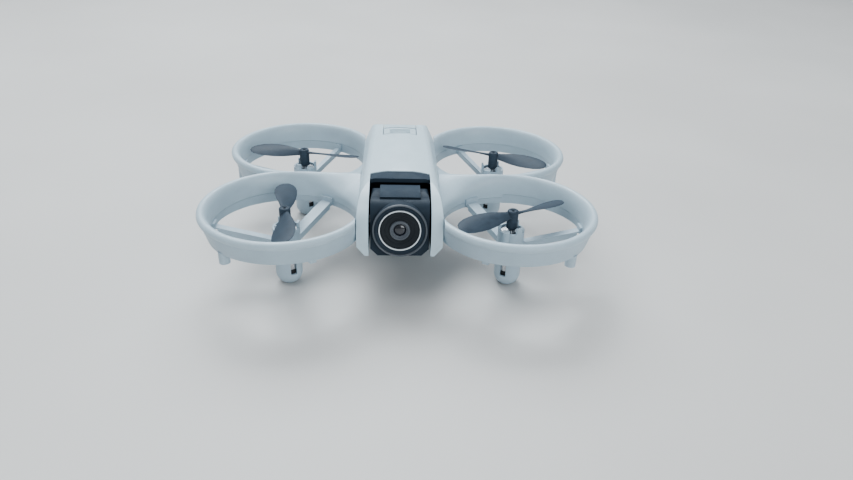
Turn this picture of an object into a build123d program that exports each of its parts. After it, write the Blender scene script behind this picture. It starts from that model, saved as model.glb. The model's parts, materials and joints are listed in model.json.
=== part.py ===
"""Small ducted camera drone, in millimetres.

The nose and its camera face -Y, +X is the drone's right-hand side and +Z is up.
The origin lies on the ground, midway between the four motor pods that the drone stands on.
"""

import os
from math import cos, radians, sin

from build123d import *

os.makedirs("parts", exist_ok=True)

# ---------------------------------------------------------------- driving dimensions
OVERALL_WIDTH = 150.0
DUCT_X = 43.3
DUCT_Y = 29.7
CORNERS = {"fl": (-1, -1), "fr": (1, -1), "rl": (-1, 1), "rr": (1, 1)}

# Duct ring: the upper shroud carries the lip, the lower frame carries the band below it.
LIP_R = OVERALL_WIDTH / 2 - DUCT_X
MOUTH_R = 28.6
THROAT_R = 27.2
WALL = 0.9
NEST_GAP = 0.05
DUCT_BOTTOM_Z = 22.0
JOINT_Z = 26.0
FLARE_Z = 27.0
LIP_UNDER_Z = 31.2
LIP_TOP_Z = 34.0
BAND_TOP_R = 30.6
BAND_BOTTOM_R = 28.2
FRONT_RISE = 0.047
BOSS_R = 27.6
BOSS_BOTTOM_Z = 20.2
RIDGE_Z = 33.6
RIDGE_HALF = 0.9
WEB_Z = 24.5
WEB_REACH = 22.0

# Fuselage
BODY_HALF = 15.9
SHROUD_CUT = 16.15
CANOPY_BASE_Z = 24.6
SHOULDER_Z = 34.0
FRONT_SHOULDER = 15.4
REAR_SHOULDER = 12.0
SHOULDER_FILLET = 4.0
CANOPY_TOP_Z = 42.6
CANOPY_REAR_TOP_Z = 42.3
CHEEK_Z = 18.6
CHEEK_FOOT = 13.0
CHEEK_ROLL_Z = 22.8
REAR_Y = 45.0
REAR_CORNER_R = 10.0
SKIN = 1.3
CANOPY_FRONT_Y = -17.0
OPENING_HALF = 11.5
CHEEK_BACK_Y = -15.9
# the side view from the cheek's lower front corner over the top to the tail: Y, Z and corner radius
SIDE_PROFILE = [
    (-41.8, 18.0, 0.0),
    (-43.4, 26.5, 12.0),
    (-40.8, 34.4, 9.0),
    (-31.0, 40.0, 25.0),
    (CANOPY_FRONT_Y, 42.4, 60.0),
    (8.0, 43.4, 60.0),
    (33.0, 43.1, 40.0),
    (42.2, 40.4, 7.0),
    (REAR_Y, 32.5, 8.0),
]

# Belly tray of the lower frame
TRAY_HALF = 15.4
TRAY_FRONT_Y = -15.8
TRAY_BOTTOM_Z = 15.0
TRAY_TOP_Z = 24.5
TRAY_WALL = 1.4
LIGHT_PIPE_Z = 21.6
LIGHT_PIPE_WIDTH = 6.0
LIGHT_PIPE_HEIGHT = 1.6

# Underside and electronics
SENSOR_Y = 24.0
SENSOR_R = 3.0
BELLY_SCREWS = [(-7.4, -8.0), (7.4, -8.0), (-7.4, 30.0), (7.4, 30.0)]
BOARD_Z = 19.0
BOARD_TOP_Z = 20.2
BOARD_SCREWS = [(-11.0, -8.0), (11.0, -8.0), (-11.0, 30.0), (11.0, 30.0)]
SHELF_Z = 25.2

# Motor pods, motors and propellers
POD_R = 5.15
POD_BORE_R = 4.35
POD_TOP_Z = 24.2
POD_TAPER_Z = 4.6
POD_FOOT_R = 2.2
POD_FLOOR_Z = 3.2
CAN_R = 4.25
CAN_BOTTOM_Z = 6.9
CAN_TOP_Z = 23.4
SHAFT_R = 0.5
SHAFT_CLEARANCE = 0.05
HUB_R = 2.15
HUB_BOTTOM_Z = 24.6
HUB_TOP_Z = 32.2
BLADE_Z = 30.4
REST_ANGLES = {"fl": 96.5, "fr": 29.0, "rl": -10.3, "rr": -25.8}

# Spokes: three per duct, a third of a turn apart, one of them straight outwards, falling to the pod
SPOKE_TOP_Z = 24.4
SPOKE_FALL = 5.6
SPOKE_THICK = 2.6
SPOKE_INNER_R = 4.65
SPOKE_OUTER_R = 27.5
CHANNEL_ROOF_Z = 23.4
CHANNEL_DEPTH = 3.0
CHANNEL_WIDTH = 2.4
CHANNEL_BEND_R = 30.2
LEAD_R = 0.42
LEAD_PITCH = 1.1

# Camera, on a pivot across the nose bay
PIVOT_Y = -29.0
PIVOT_Z = 27.5
LENS_TILT = 7.0
BARREL_R = 11.7
FACE_AHEAD = 11.2
HEAD_HALF = 10.4
HEAD_ROLL = 5.0
CAMERA_HALF = 10.9
CAMERA_SKIN = 1.2
BEZEL_R = 10.2
BEZEL_FRONT = 13.2
BEZEL_FOOT = 6.6
PAD_HEIGHT = 1.3
PIN_R = 1.5
PIN_CLEARANCE = 0.05

# Battery pack, drawn out through the tail
PACK_HALF = 10.2
PACK_FRONT_Y = 2.0
PACK_REAR_Y = 38.6
PACK_BOTTOM_Z = 26.9
PACK_TOP_Z = 38.0
PACK_GAP = 0.3
LATCH_FRONT_GAP = 1.0
LATCH_REAR_GAP = 0.2
CASE_WALL = 0.8
LATCH_HALF = 7.2
LATCH_FRONT_Y = 25.4
LATCH_REAR_Y = 32.6
LATCH_TRAVEL = 0.6
BUTTON_R = 2.0
BUTTON_X = 6.0
PORT_X = -4.5
TAIL_Z = 32.2

# Solids that stand on their location rather than straddle it
STANDING = (Align.CENTER, Align.CENTER, Align.MIN)


def save(name, part):
    """Labels a finished part and writes it as its own file."""
    part.label = name
    export_step(part, f"parts/{name}.step")


def duct_ring(points_and_arcs):
    """One ring about the Z axis, from a closed list of edges in radius and height."""
    with BuildPart() as ring:
        with BuildSketch(Plane.XZ):
            with BuildLine():
                for kind, *points in points_and_arcs:
                    Polyline(*points) if kind == "line" else ThreePointArc(*points)
            make_face()
        revolve(axis=Axis.Z)
    return ring.part


def block(x_range, y_range, z_range, mode=Mode.ADD):
    """An upright block between two limits on each axis, in the part being built."""
    size = [high - low for low, high in (x_range, y_range, z_range)]
    centre = tuple((high + low) / 2 for low, high in (x_range, y_range, z_range))
    with Locations(centre):
        Box(*size, mode=mode)


# ---------------------------------------------------------------- fuselage envelope
def fuselage_block(inset):
    """The solid shape of the body, shrunk all round by the inset.

    Its cross section has a rolled-under bottom, upright sides, round shoulders and a domed top.
    """
    with BuildPart() as body:
        for y, shoulder, top in (
            (-45.0, FRONT_SHOULDER, CANOPY_TOP_Z),
            (REAR_Y + 2, REAR_SHOULDER, CANOPY_REAR_TOP_Z),
        ):
            with BuildSketch(Plane.XZ.offset(-y)) as section:
                corner_z = top - shoulder**2 / 94
                with BuildLine():
                    Polyline(
                        (-shoulder, corner_z),
                        (-BODY_HALF, SHOULDER_Z),
                        (-BODY_HALF, CHEEK_ROLL_Z),
                        (-CHEEK_FOOT, CHEEK_Z),
                        (CHEEK_FOOT, CHEEK_Z),
                        (BODY_HALF, CHEEK_ROLL_Z),
                        (BODY_HALF, SHOULDER_Z),
                        (shoulder, corner_z),
                    )
                    ThreePointArc((shoulder, corner_z), (0, top), (-shoulder, corner_z))
                make_face()
                fillet(section.vertices().group_by(Axis.Y)[-1], SHOULDER_FILLET)
                if inset:
                    offset(amount=-inset)
        loft(ruled=True)
        with BuildSketch(Plane.YZ) as profile:
            with BuildLine():
                Polyline(
                    *[(y, z) for y, z, _ in SIDE_PROFILE],
                    (REAR_Y, CANOPY_BASE_Z),
                    (CHEEK_BACK_Y, CANOPY_BASE_Z),
                    (CHEEK_BACK_Y, SIDE_PROFILE[0][1]),
                    close=True,
                )
            make_face()
            for y, z, radius in SIDE_PROFILE[1:]:
                fillet(profile.vertices().sort_by_distance((y, z, 0))[0], radius)
            if inset:
                offset(amount=-inset)
        extrude(amount=BODY_HALF + 1, both=True, mode=Mode.INTERSECT)
        with BuildSketch(Plane.XY.offset(CHEEK_Z - 1)) as plan:
            with Locations((0, (REAR_Y - 50) / 2)):
                Rectangle(2 * BODY_HALF, REAR_Y + 50)
            fillet(plan.vertices().group_by(Axis.Y)[-1], REAR_CORNER_R)
            if inset:
                offset(amount=-inset)
        extrude(amount=30, mode=Mode.INTERSECT)
    return body.part


ENVELOPE = fuselage_block(0)
CAVITY = fuselage_block(SKIN)

with BuildPart() as canopy:
    add(ENVELOPE)
    add(CAVITY, mode=Mode.SUBTRACT)
    # open underside over the belly tray
    block((-BODY_HALF + SKIN, BODY_HALF - SKIN), (CHEEK_BACK_Y + SKIN, 33.0), (24.0, 26.5), Mode.SUBTRACT)
    block((-PACK_HALF, PACK_HALF), (32.0, REAR_Y - SKIN), (24.0, 26.5), Mode.SUBTRACT)
    # nose bay for the camera, open at the front, above and below
    block((-OPENING_HALF, OPENING_HALF), (-60.0, CANOPY_FRONT_Y), (10.0, 50.0), Mode.SUBTRACT)
    block((-OPENING_HALF, OPENING_HALF), (CANOPY_FRONT_Y - 1, -10.0), (10.0, 38.5), Mode.SUBTRACT)
    # tail opening that the battery pack leaves through
    block(
        (-PACK_HALF - PACK_GAP, PACK_HALF + PACK_GAP),
        (REAR_Y - 6, REAR_Y + 2),
        (PACK_BOTTOM_Z - PACK_GAP, PACK_TOP_Z + PACK_GAP),
        Mode.SUBTRACT,
    )
    # notch for the latch, open at the tail so that the pack slides out under it
    block(
        (-LATCH_HALF - PACK_GAP, LATCH_HALF + PACK_GAP),
        (LATCH_FRONT_Y - LATCH_FRONT_GAP, REAR_Y + 2),
        (PACK_TOP_Z - 1, 50.0),
        Mode.SUBTRACT,
    )
save("canopy", canopy.part)

# dark hood in front of the canopy's edge, with a tongue under that edge
with BuildPart() as bay_hood:
    add(fuselage_block(0.35))
    add(fuselage_block(1.9), mode=Mode.SUBTRACT)
    block((-11.3, 11.3), (-22.0, CANOPY_FRONT_Y - 0.05), (30.0, 50.0), Mode.INTERSECT)
    with BuildPart():
        add(fuselage_block(1.4))
        add(fuselage_block(2.6), mode=Mode.SUBTRACT)
        block((-11.3, 11.3), (-20.6, -14.6), (30.0, 50.0), Mode.INTERSECT)
save("bay_hood", bay_hood.part)

with BuildPart() as camera_yoke:
    add(fuselage_block(SKIN + 0.15))
    with BuildPart(mode=Mode.INTERSECT):
        for side in (-1, 1):
            inner, outer = sorted((side * OPENING_HALF, side * (OPENING_HALF + 1.0)))
            block((inner, outer), (-41.0, CANOPY_FRONT_Y + 0.1), (18.0, 38.0))
    # bulkhead behind the camera, narrower between the ends of the canopy's cheeks
    block((-OPENING_HALF + 0.1, OPENING_HALF - 0.1), (-16.9, -15.95), (19.9, 27.0))
    block((-OPENING_HALF - 1.0, OPENING_HALF + 1.0), (-16.9, -15.95), (26.3, 38.0))
    with Locations(Location((0, PIVOT_Y, PIVOT_Z), (0, 90, 0))):
        Cylinder(PIN_R + PIN_CLEARANCE, 40, mode=Mode.SUBTRACT)
    with Locations((0, -16.4, 34.0)):
        Box(9, 4, 2.2, mode=Mode.SUBTRACT)
save("camera_yoke", camera_yoke.part)

# ---------------------------------------------------------------- upper duct shrouds
SHROUD_RING = duct_ring(
    [
        ("line", (THROAT_R, JOINT_Z + NEST_GAP), (THROAT_R, FLARE_Z)),
        ("arc", (THROAT_R, FLARE_Z), (27.5, 30.4), (MOUTH_R, 33.2)),
        ("arc", (MOUTH_R, 33.2), (30.0, LIP_TOP_Z), (31.3, 33.4)),
        ("arc", (31.3, 33.4), (LIP_R, 32.4), (31.3, 31.5)),
        (
            "line",
            (31.3, 31.5),
            (30.9, LIP_UNDER_Z),
            (29.3, LIP_UNDER_Z),
            (THROAT_R + WALL, FLARE_Z),
            (THROAT_R + WALL, JOINT_Z + NEST_GAP),
            (THROAT_R, JOINT_Z + NEST_GAP),
        ),
    ]
)


def mouth_sweep(side, end):
    """The free space over the slope that runs from the ridge between two ducts down to one throat."""
    x, y = side * DUCT_X, end * DUCT_Y
    split = radians(20)
    toward = (-side, -end)

    def rim(angle):
        return (x + toward[0] * THROAT_R * cos(angle), y + toward[1] * THROAT_R * sin(angle))

    half_way = rim(radians(55))
    with BuildPart() as space:
        with BuildSketch(Plane.XY.offset(JOINT_Z - 0.5)):
            with BuildLine():
                Line((x, y), rim(radians(90)))
                ThreePointArc(rim(radians(90)), half_way, rim(split))
                ThreePointArc(rim(split), rim(split / 2), rim(0))
                Line(rim(0), (x, y))
            make_face()
        with BuildSketch(Plane.XY.offset(LIP_TOP_Z + 0.2)):
            with BuildLine():
                Polyline(
                    (x, y),
                    (x, end * RIDGE_HALF),
                    (side * 4.0, end * RIDGE_HALF),
                    (side * 4.0, y),
                    close=True,
                )
            make_face()
        loft(ruled=True)
    return space.part


# free space of one duct above the joint: the throat and the bell mouth up to the crest of the lip
BELL_SPACE = duct_ring(
    [
        ("line", (0, LIP_TOP_Z + 5), (0, 10), (THROAT_R, 10), (THROAT_R, FLARE_Z)),
        ("arc", (THROAT_R, FLARE_Z), (27.5, 30.4), (MOUTH_R, 33.2)),
        ("line", (MOUTH_R, 33.2), (29.6, 33.9), (29.9, LIP_TOP_Z + 5), (0, LIP_TOP_Z + 5)),
    ]
)


def duct_shroud(side):
    """Two bell mouths side by side, joined by the web between them, for one side of the drone."""
    near, far = sorted((side * SHROUD_CUT, side * DUCT_X))
    with BuildPart() as shroud:
        with Locations((side * DUCT_X, -DUCT_Y), (side * DUCT_X, DUCT_Y)):
            add(SHROUD_RING)
        block((near, far), (-WEB_REACH, WEB_REACH), (WEB_Z, RIDGE_Z))
        with Locations((side * DUCT_X, -DUCT_Y), (side * DUCT_X, DUCT_Y)):
            add(BELL_SPACE, mode=Mode.SUBTRACT)
        for end in (-1, 1):
            add(mouth_sweep(side, end), mode=Mode.SUBTRACT)
        block((-SHROUD_CUT, SHROUD_CUT), (-80, 80), (0, 60), Mode.SUBTRACT)
        # hollow under the web, which the motor leads cross
        with BuildSketch(Plane.XY.offset(WEB_Z - 1)):
            with BuildLine():
                Polyline((side * 10.0, -4.4), (side * 10.0, 4.4), (side * 26.0, 0), close=True)
            make_face()
        extrude(amount=3.6, mode=Mode.SUBTRACT)
    return shroud.part


# ---------------------------------------------------------------- lower frame
BAND_PROFILE = [
    (
        "line",
        (BAND_BOTTOM_R, DUCT_BOTTOM_Z),
        (THROAT_R, DUCT_BOTTOM_Z),
        (THROAT_R, JOINT_Z - NEST_GAP),
        (THROAT_R + WALL + NEST_GAP, JOINT_Z - NEST_GAP),
        (THROAT_R + WALL + NEST_GAP, FLARE_Z),
        (29.3 + NEST_GAP, LIP_UNDER_Z - NEST_GAP),
        (BAND_TOP_R, LIP_UNDER_Z - NEST_GAP),
    ),
    ("arc", (BAND_TOP_R, LIP_UNDER_Z - NEST_GAP), (29.6, 26.6), (BAND_BOTTOM_R, DUCT_BOTTOM_Z)),
]
BAND_RING = duct_ring(BAND_PROFILE)
SHROUDS = {"left_duct_shroud": duct_shroud(-1), "right_duct_shroud": duct_shroud(1)}
for name, shroud in SHROUDS.items():
    save(name, shroud)


def spoke_angles(side):
    """Directions of the three spokes of a duct: outwards, inwards to the rear, inwards to the front."""
    return (180, 60, -60) if side < 0 else (0, 120, -120)


def lead_angle(side, end):
    """The inner spoke that carries the motor leads is the one nearer the middle of the drone."""
    return spoke_angles(side)[1 if end < 0 else 2]


def boss_place(side, end):
    """Screw boss under the duct wall: front ducts at their outer front, rear ducts near the outer spoke."""
    angle = radians(47 if end < 0 else 12)
    return (side * (DUCT_X + BOSS_R * cos(angle)), end * DUCT_Y - BOSS_R * sin(angle))


def channel_roof(radius):
    """Height of the lead channel's roof under a spoke, at a distance from the pod's axis."""
    return CHANNEL_ROOF_Z - SPOKE_FALL * (SPOKE_OUTER_R - radius) / (SPOKE_OUTER_R - SPOKE_INNER_R)


def pod_shell():
    """A motor pod standing on its rounded foot, solid, about the Z axis."""
    return duct_ring(
        [
            ("line", (0, POD_TOP_Z), (0, 0), (POD_FOOT_R, 0)),
            ("arc", (POD_FOOT_R, 0), (4.4, 2.0), (POD_R, POD_TAPER_Z)),
            ("line", (POD_R, POD_TAPER_Z), (POD_R, POD_TOP_Z), (0, POD_TOP_Z)),
        ]
    )


POD = pod_shell()

# what the front ducts lack: their lower edge rises towards the nose
with BuildPart() as front_rise:
    with Locations(*[(side * DUCT_X, -DUCT_Y, 10) for side in (-1, 1)]):
        Cylinder(LIP_R + 1, 20, align=STANDING)
    with Locations(*[(side * DUCT_X, -DUCT_Y, 10) for side in (-1, 1)]):
        Cylinder(THROAT_R - 1.6, 20, align=STANDING, mode=Mode.SUBTRACT)
    block((-SHROUD_CUT, SHROUD_CUT), (-80, 80), (0, 60), Mode.SUBTRACT)
    with BuildSketch(Plane.YZ):
        with BuildLine():
            Polyline(
                (-DUCT_Y + THROAT_R, DUCT_BOTTOM_Z),
                (-70, DUCT_BOTTOM_Z + (70 - DUCT_Y + THROAT_R) * FRONT_RISE),
                (-70, 9),
                (-DUCT_Y + THROAT_R, 9),
                close=True,
            )
        make_face()
    extrude(amount=100, both=True, mode=Mode.INTERSECT)

with BuildPart() as lower_frame:
    for side, end in CORNERS.values():
        with Locations((side * DUCT_X, end * DUCT_Y)):
            add(BAND_RING)
    # the shroud's web takes the bands' place above the web plates
    for side in (-1, 1):
        near, far = sorted((side * SHROUD_CUT, side * (DUCT_X + NEST_GAP)))
        block((near, far), (-WEB_REACH - NEST_GAP, WEB_REACH + NEST_GAP), (WEB_Z - 0.1, 40), Mode.SUBTRACT)
    # web plates that tie the bands to the belly tray
    for side in (-1, 1):
        near, far = sorted((side * (TRAY_HALF - 1), side * 34.0))
        block((near, far), (-15.0, 15.0), (DUCT_BOTTOM_Z, WEB_Z - 0.1))
    for side, end in CORNERS.values():
        with Locations((side * DUCT_X, end * DUCT_Y)):
            Cylinder(THROAT_R, 12.2, align=STANDING, mode=Mode.SUBTRACT)
            with Locations((0, 0, DUCT_BOTTOM_Z - 8)):
                Cylinder(THROAT_R, 11.95, align=STANDING, mode=Mode.SUBTRACT)
    # belly tray
    with BuildSketch(Plane.XY.offset(TRAY_BOTTOM_Z)) as tray_plan:
        with Locations((0, (TRAY_FRONT_Y + REAR_Y) / 2)):
            Rectangle(2 * TRAY_HALF, REAR_Y - TRAY_FRONT_Y)
        fillet(tray_plan.vertices().group_by(Axis.Y)[-1], REAR_CORNER_R)
    extrude(amount=TRAY_TOP_Z - TRAY_BOTTOM_Z)
    chamfer(lower_frame.faces().filter_by(Plane.XY).group_by(Axis.Z)[0].edges(), 2.5)
    # room for the canopy and the cheeks
    block((-SHROUD_CUT, SHROUD_CUT), (-60, 60), (TRAY_TOP_Z, 45), Mode.SUBTRACT)
    block((-SHROUD_CUT, SHROUD_CUT), (-60, TRAY_FRONT_Y), (10, 45), Mode.SUBTRACT)
    # inside of the tray, and the service opening in its floor
    with BuildSketch(Plane.XY.offset(TRAY_BOTTOM_Z + TRAY_WALL)) as inside_plan:
        with Locations((0, (TRAY_FRONT_Y + REAR_Y) / 2)):
            Rectangle(2 * (TRAY_HALF - TRAY_WALL), REAR_Y - TRAY_FRONT_Y - 2 * TRAY_WALL)
        fillet(inside_plan.vertices().group_by(Axis.Y)[-1], REAR_CORNER_R - TRAY_WALL)
    extrude(amount=20, mode=Mode.SUBTRACT)
    block((-9.5, 9.5), (-10.0, 32.0), (10, 18), Mode.SUBTRACT)
    # motor pods, spokes and their feet on the band
    for side, end in CORNERS.values():
        x, y = side * DUCT_X, end * DUCT_Y
        with Locations((x, y)):
            add(POD)
        for angle in spoke_angles(side):
            carries_leads = angle == lead_angle(side, end)
            outward = angle in (0, 180)
            width = 4.6 if carries_leads else (3.0 if outward else 2.2)
            along = (cos(radians(angle)), sin(radians(angle)), 0)
            side_view = Plane(origin=(x, y, 0), x_dir=along, z_dir=(along[1], -along[0], 0))
            with BuildSketch(side_view):
                with BuildLine():
                    Polyline(
                        (SPOKE_INNER_R, SPOKE_TOP_Z - SPOKE_FALL - SPOKE_THICK),
                        (SPOKE_OUTER_R, SPOKE_TOP_Z - SPOKE_THICK),
                        (SPOKE_OUTER_R, SPOKE_TOP_Z),
                        (SPOKE_INNER_R, SPOKE_TOP_Z - SPOKE_FALL),
                        close=True,
                    )
                make_face()
            extrude(amount=width / 2, both=True)
            with Locations(Location((x, y, 23.3), (0, 0, angle))):
                with Locations((THROAT_R - 1.0, 0, 0)):
                    Box(1.9, width + 1.2, 2.6, align=(Align.MIN, Align.CENTER, Align.MIN))
        # small round boss beside the pod's mouth
        root = radians(spoke_angles(side)[2])
        with Locations((x + 5.7 * cos(root), y + 5.7 * sin(root), 21.0)):
            Cylinder(1.5, 4.4, align=STANDING)
    add(front_rise.part, mode=Mode.SUBTRACT)
    # screw bosses under the duct walls, and three snap fingers round each pod's mouth
    for side, end in CORNERS.values():
        with Locations((*boss_place(side, end), BOSS_BOTTOM_Z)):
            Cylinder(2.0, 4.6, align=STANDING)
        x, y = side * DUCT_X, end * DUCT_Y
        with BuildSketch(Plane.XY.offset(POD_TOP_Z - 0.5)):
            with Locations((x, y)):
                Circle(POD_R)
                Circle(POD_BORE_R, mode=Mode.SUBTRACT)
            with Locations(*[Location((x, y, 0), (0, 0, a + 60)) for a in spoke_angles(side)]):
                Rectangle(6, 2.4, align=(Align.MIN, Align.CENTER), mode=Mode.INTERSECT)
        extrude(amount=2.7)
    # bores, windows, lead channels and screw holes
    for side, end in CORNERS.values():
        x, y = side * DUCT_X, end * DUCT_Y
        with Locations((x, y, POD_FLOOR_Z)):
            Cylinder(POD_BORE_R, 30, align=STANDING, mode=Mode.SUBTRACT)
        with Locations(Location((x, y, 5.2), (0, 0, spoke_angles(side)[2]))):
            Box(8, 2.4, 8.2, align=(Align.MIN, Align.CENTER, Align.MIN), mode=Mode.SUBTRACT)
        turn = lead_angle(side, end)
        along = (cos(radians(turn)), sin(radians(turn)), 0)
        with BuildSketch(Plane(origin=(x, y, 0), x_dir=along, z_dir=(along[1], -along[0], 0))):
            with BuildLine():
                Polyline(
                    (0, channel_roof(0)),
                    (SPOKE_OUTER_R, CHANNEL_ROOF_Z),
                    (CHANNEL_BEND_R + 1.1, CHANNEL_ROOF_Z),
                    (CHANNEL_BEND_R + 1.1, CHANNEL_ROOF_Z - CHANNEL_DEPTH),
                    (SPOKE_OUTER_R, CHANNEL_ROOF_Z - CHANNEL_DEPTH),
                    (0, channel_roof(0) - CHANNEL_DEPTH),
                    close=True,
                )
            make_face()
        extrude(amount=CHANNEL_WIDTH / 2, both=True, mode=Mode.SUBTRACT)
        bend = (x + CHANNEL_BEND_R * along[0], y + CHANNEL_BEND_R * along[1])
        near, far = sorted((side * 12.0, bend[0] + side * 0.6))
        block(
            (near, far),
            (bend[1] - CHANNEL_WIDTH / 2, bend[1] + CHANNEL_WIDTH / 2),
            (CHANNEL_ROOF_Z - CHANNEL_DEPTH, CHANNEL_ROOF_Z),
            Mode.SUBTRACT,
        )
        with Locations((*boss_place(side, end), BOSS_BOTTOM_Z)):
            Cylinder(0.7, 4.2, align=STANDING, mode=Mode.SUBTRACT)
            Cylinder(1.55, 1.0, align=STANDING, mode=Mode.SUBTRACT)
    for shroud in SHROUDS.values():
        add(shroud, mode=Mode.SUBTRACT)
    with BuildSketch(Plane.XZ.offset(-(REAR_Y - 5))):
        with Locations((0, LIGHT_PIPE_Z)):
            SlotOverall(LIGHT_PIPE_WIDTH, LIGHT_PIPE_HEIGHT)
    extrude(amount=-6, mode=Mode.SUBTRACT)
save("lower_frame", lower_frame.part)

# ---------------------------------------------------------------- belly and electronics
with BuildPart() as belly_cover:
    block((-9.3, 9.3), (-9.8, 31.8), (TRAY_BOTTOM_Z, TRAY_BOTTOM_Z + TRAY_WALL))
    fillet(belly_cover.edges().filter_by(Axis.Z), 1.5)
    with Locations((0, SENSOR_Y, TRAY_BOTTOM_Z)):
        Cylinder(SENSOR_R + 0.1, 6, mode=Mode.SUBTRACT)
    with Locations((0, 2.0, TRAY_BOTTOM_Z)):
        with GridLocations(1, 3.2, 1, 6):
            Box(9.0, 1.4, 6, mode=Mode.SUBTRACT)
    with Locations(*[(x, y, TRAY_BOTTOM_Z) for x, y in BELLY_SCREWS]):
        Cylinder(1.6, 1.6, mode=Mode.SUBTRACT)
        Cylinder(0.75, 6, mode=Mode.SUBTRACT)
save("belly_cover", belly_cover.part)


def screw(head_r, head_z, shank_r, length):
    """A pan screw with its head down, from its under face up the Z axis, with a cross recess."""
    with BuildPart() as made:
        Cylinder(head_r, head_z, align=STANDING)
        chamfer(made.faces().sort_by(Axis.Z)[0].edges(), head_z * 0.3)
        Cylinder(shank_r, length, align=STANDING)
        for turn in (0, 90):
            with Locations(Location((0, 0, 0), (0, 0, turn))):
                Box(head_r, head_r * 0.25, head_z, mode=Mode.SUBTRACT)
    return made.part


def group(part, places):
    """Copies of one part at several places, as separate solids of one node."""
    with BuildPart() as copies:
        with Locations(*places):
            add(part)
    return copies.part


save("belly_screws", group(screw(1.5, 0.75, 0.7, 3.0), [(x, y, TRAY_BOTTOM_Z) for x, y in BELLY_SCREWS]))
save(
    "duct_screws",
    group(
        screw(1.5, 0.95, 0.66, 4.0),
        [(*boss_place(side, end), BOSS_BOTTOM_Z + 0.05) for side, end in CORNERS.values()],
    ),
)

with BuildPart() as flow_sensor:
    with Locations((0, SENSOR_Y, TRAY_BOTTOM_Z + 0.4)):
        Cylinder(SENSOR_R, 1.8, align=STANDING)
        Cylinder(1.6, 1.0, align=STANDING, mode=Mode.SUBTRACT)
    block((-4.0, 4.0), (SENSOR_Y - 4.0, SENSOR_Y + 4.0), (TRAY_BOTTOM_Z + 2.2, BOARD_Z))
save("flow_sensor", flow_sensor.part)

with BuildPart() as flow_sensor_lens:
    with Locations((0, SENSOR_Y, TRAY_BOTTOM_Z + 0.6)):
        Cylinder(1.55, 0.7, align=STANDING)
save("flow_sensor_lens", flow_sensor_lens.part)

with BuildPart() as flight_controller:
    block((-12.5, 12.5), (-10.0, 32.0), (BOARD_Z, BOARD_TOP_Z))
    with Locations(*[(x, y, BOARD_Z) for x, y in BOARD_SCREWS]):
        Cylinder(0.8, 6, mode=Mode.SUBTRACT)
save("flight_controller", flight_controller.part)

with BuildPart() as shield_can:
    block((-6.0, 6.0), (8.0, 20.0), (BOARD_TOP_Z, BOARD_TOP_Z + 1.8))
    fillet(shield_can.edges().filter_by(Axis.Z), 0.8)
save("shield_can", shield_can.part)

with BuildPart() as motor_plugs:
    with Locations(*[(x, y, BOARD_TOP_Z) for x in (-9.6, 9.6) for y in (-4.2, 5.5)]):
        Box(3.4, 4.4, 2.0, align=STANDING)
save("motor_plugs", motor_plugs.part)

with BuildPart() as board_screws:
    with Locations(*[(x, y, BOARD_TOP_Z) for x, y in BOARD_SCREWS]):
        Cylinder(1.4, 0.9, align=STANDING)
        with Locations((0, 0, -2.6)):
            Cylinder(0.7, 2.6, align=STANDING)
save("board_screws", board_screws.part)

with BuildPart() as wireless_antenna:
    block((-12.0, 12.0), (34.0, 38.0), (18.0, 18.8))
    block((-1.5, 1.5), (38.0, 40.5), (18.0, 18.8))
save("wireless_antenna", wireless_antenna.part)

with BuildPart() as camera_ribbon:
    block((-3.5, 3.5), (-14.0, -4.0), (BOARD_TOP_Z, BOARD_TOP_Z + 0.25))
    block((-3.5, 3.5), (-14.25, -14.0), (BOARD_TOP_Z, 33.2))
save("camera_ribbon", camera_ribbon.part)

with BuildPart() as status_light:
    block((-1.5, 1.5), (33.0, 34.6), (BOARD_Z, BOARD_Z + 1.6))
save("status_light", status_light.part)

with BuildPart() as light_pipe:
    with BuildSketch(Plane.XZ.offset(-(REAR_Y - TRAY_WALL - 1.0))):
        with Locations((0, LIGHT_PIPE_Z)):
            SlotOverall(LIGHT_PIPE_WIDTH, LIGHT_PIPE_HEIGHT)
    extrude(amount=-(TRAY_WALL + 1.0))
save("light_pipe", light_pipe.part)

with BuildPart() as battery_shelf:
    block((-12.0, 12.0), (-8.0, 33.0), (SHELF_Z, SHELF_Z + 1.3))
    block((-10.0, 10.0), (32.0, 43.0), (SHELF_Z, SHELF_Z + 1.3))
    for side in (-1, 1):
        near, far = sorted((side * (PACK_HALF + PACK_GAP), side * (PACK_HALF + PACK_GAP + 1.2)))
        block((near, far), (-4.0, 31.0), (SHELF_Z, SHELF_Z + 5.0))
    block((-11.7, 11.7), (-5.2, -4.0), (SHELF_Z, SHELF_Z + 8.0))
    with Locations((0, 10, SHELF_Z)):
        with GridLocations(1, 9.0, 1, 3):
            Box(14, 5.5, 6, mode=Mode.SUBTRACT)
save("battery_shelf", battery_shelf.part)

with BuildPart() as battery_socket:
    block((-6.0, 6.0), (-4.0, 0.4), (SHELF_Z + 2.0, SHELF_Z + 7.0))
    with Locations(*[(x, 0.4, SHELF_Z + 4.5) for x in (-3.0, 0, 3.0)]):
        Box(1.8, 3.0, 3.2, mode=Mode.SUBTRACT)
save("battery_socket", battery_socket.part)

# ---------------------------------------------------------------- motors and propellers
with BuildPart() as can_pattern:
    with Locations((0, 0, CAN_BOTTOM_Z)):
        Cylinder(CAN_R, CAN_TOP_Z - CAN_BOTTOM_Z, align=STANDING)
    fillet(can_pattern.edges().filter_by(GeomType.CIRCLE), 0.4)
    with Locations((0, 0, CAN_TOP_Z)):
        Cylinder(1.4, 0.7, align=STANDING)
    with Locations((0, 0, 19.0)):
        Cylinder(SHAFT_R + SHAFT_CLEARANCE, 8, align=STANDING, mode=Mode.SUBTRACT)

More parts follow.
